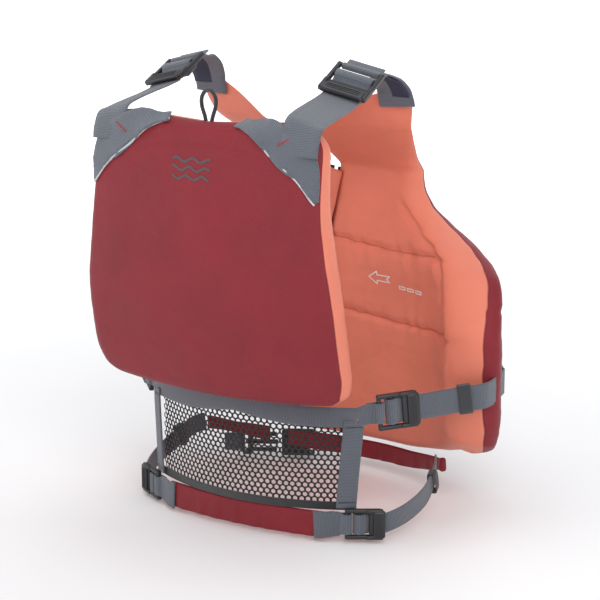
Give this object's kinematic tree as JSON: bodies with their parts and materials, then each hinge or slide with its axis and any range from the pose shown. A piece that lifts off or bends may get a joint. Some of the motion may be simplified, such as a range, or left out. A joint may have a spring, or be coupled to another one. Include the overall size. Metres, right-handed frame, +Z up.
{
  "type": "life jacket",
  "caption": "Foam paddling life jacket: padded back over a mesh waist, front panels closed by a slanting zip, adjustable shoulder, side and hem straps.",
  "frame": {"origin": "centre of the bounding box in plan, at the lowest point, the rear hem band's lower edge", "axes": "+Z up, the wearer faces -Y, +X is the wearer's left"},
  "size_m": [0.4319, 0.3393, 0.456],
  "materials": {
    "shell": "woven nylon, dark red",
    "lining": "satin-woven nylon, coral",
    "foam": "closed-cell foam, plain",
    "webbing": "ribbed blue-grey webbing",
    "underlay": "plain navy weave",
    "piping": "silver reflective weave",
    "binding": "black woven tape",
    "mesh": "black open knit",
    "plastic": "moulded black acetal, semi-gloss"
  },
  "bodies": {
    "back": {"back_shell": "shell", "back_lining": "lining", "back_foam": "foam", "yoke_webbing_left": "webbing", "yoke_webbing_right": "webbing", "reflective_piping_left": "piping", "reflective_piping_right": "piping", "shoulder_strap_rear_left": "webbing", "shoulder_strap_rear_right": "webbing", "hang_loop": "binding", "waist_webbing": "webbing", "lower_back_mesh": "mesh", "mesh_binding": "binding", "hem_band_rear": "shell", "side_webbing_left": "webbing", "side_webbing_right": "webbing", "hem_tab_left": "webbing", "hem_tab_right": "webbing", "waist_loop_left": "webbing", "waist_loop_right": "webbing"},
    "front_left": {"front_shell_left": "shell", "front_lining_left": "lining", "front_foam_left": "foam", "shoulder_strap_front_left": "webbing", "shoulder_underlay_left": "underlay", "waist_strap_left": "webbing", "hem_strap_left": "webbing", "hem_band_front_left": "shell", "front_belt_left": "webbing", "zip_tape_left": "binding", "zip_facing_left": "shell"},
    "front_right": {"front_shell_right": "shell", "front_lining_right": "lining", "front_foam_right": "foam", "shoulder_strap_front_right": "webbing", "shoulder_underlay_right": "underlay", "waist_strap_right": "webbing", "hem_strap_right": "webbing", "hem_band_front_right": "shell", "front_belt_right": "webbing", "zip_tape_right": "binding", "zip_facing_right": "shell", "buckle_socket": "plastic", "lash_tab": "plastic"},
    "shoulder_lock_left": {"shoulder_lock_left": "plastic"},
    "waist_lock_left": {"waist_lock_left": "plastic"},
    "hem_lock_left": {"hem_lock_left": "plastic"},
    "waist_keeper_left": {"waist_keeper_left": "webbing"},
    "hem_keeper_left": {"hem_keeper_left": "webbing"},
    "shoulder_lock_right": {"shoulder_lock_right": "plastic"},
    "waist_lock_right": {"waist_lock_right": "plastic"},
    "hem_lock_right": {"hem_lock_right": "plastic"},
    "waist_keeper_right": {"waist_keeper_right": "webbing"},
    "hem_keeper_right": {"hem_keeper_right": "webbing"},
    "zip_slider": {"zip_slider": "plastic"},
    "zip_pull": {"zip_pull": "plastic"},
    "buckle_male": {"buckle_prongs": "plastic", "buckle_webbing": "webbing"}
  },
  "joints": [
    {"name": "front_left_open", "type": "hinge", "parent": "back", "child": "front_left", "pos_m": [0.1, 0.0815, 0.427], "axis": [-0.1487, 0.119, 0.9817], "range_deg": [0, 50]},
    {"name": "shoulder_lock_left_tilt", "type": "hinge", "parent": "front_left", "child": "shoulder_lock_left", "pos_m": [0.099, 0.0375, 0.449], "axis": [0.9563, 0, -0.2924], "range_deg": [0, 30]},
    {"name": "waist_lock_left_tilt", "type": "hinge", "parent": "back", "child": "waist_lock_left", "pos_m": [0.1305, 0.0595, 0.128], "axis": [0, 0, 1], "range_deg": [0, 25]},
    {"name": "hem_lock_left_tilt", "type": "hinge", "parent": "back", "child": "hem_lock_left", "pos_m": [0.108, 0.08, 0.019], "axis": [0, 0, 1], "range_deg": [0, 35]},
    {"name": "waist_keeper_left_slide", "type": "slide", "parent": "front_left", "child": "waist_keeper_left", "axis": [0.7167, -0.6876, 0.1165], "range_m": [-0.008, 0.008]},
    {"name": "hem_keeper_left_slide", "type": "slide", "parent": "front_left", "child": "hem_keeper_left", "axis": [-0.2009, -0.9106, 0.3612], "range_m": [-0.002, 0.002]},
    {"name": "front_right_open", "type": "hinge", "parent": "back", "child": "front_right", "pos_m": [-0.1, 0.0815, 0.427], "axis": [0.1487, 0.119, 0.9817], "range_deg": [-50, 0]},
    {"name": "shoulder_lock_right_tilt", "type": "hinge", "parent": "front_right", "child": "shoulder_lock_right", "pos_m": [-0.099, 0.0375, 0.449], "axis": [0.9563, 0, 0.2924], "range_deg": [0, 30]},
    {"name": "waist_lock_right_tilt", "type": "hinge", "parent": "back", "child": "waist_lock_right", "pos_m": [-0.1305, 0.0595, 0.128], "axis": [0, 0, -1], "range_deg": [0, 25]},
    {"name": "hem_lock_right_tilt", "type": "hinge", "parent": "back", "child": "hem_lock_right", "pos_m": [-0.108, 0.08, 0.019], "axis": [0, 0, -1], "range_deg": [0, 35]},
    {"name": "waist_keeper_right_slide", "type": "slide", "parent": "front_right", "child": "waist_keeper_right", "axis": [-0.7167, -0.6876, 0.1165], "range_m": [-0.008, 0.008]},
    {"name": "hem_keeper_right_slide", "type": "slide", "parent": "front_right", "child": "hem_keeper_right", "axis": [0.2009, -0.9106, 0.3612], "range_m": [-0.002, 0.002]},
    {"name": "zip_slide", "type": "slide", "parent": "front_left", "child": "zip_slider", "axis": [0.2182, -0.0533, -0.9744], "range_m": [0, 0.262]},
    {"name": "zip_pull_swing", "type": "hinge", "parent": "zip_slider", "child": "zip_pull", "pos_m": [0.02632, -0.12444, 0.31522], "axis": [-0.9414, -0.2747, -0.1957], "range_deg": [0, 150]},
    {"name": "buckle_slide", "type": "slide", "parent": "front_left", "child": "buckle_male", "axis": [-0.8756, -0.483, 0], "range_m": [0, 0.026]}
  ],
  "couplings": [
    {"joint": "front_right_open", "follows": "front_left_open", "ratio": -1}
  ]
}
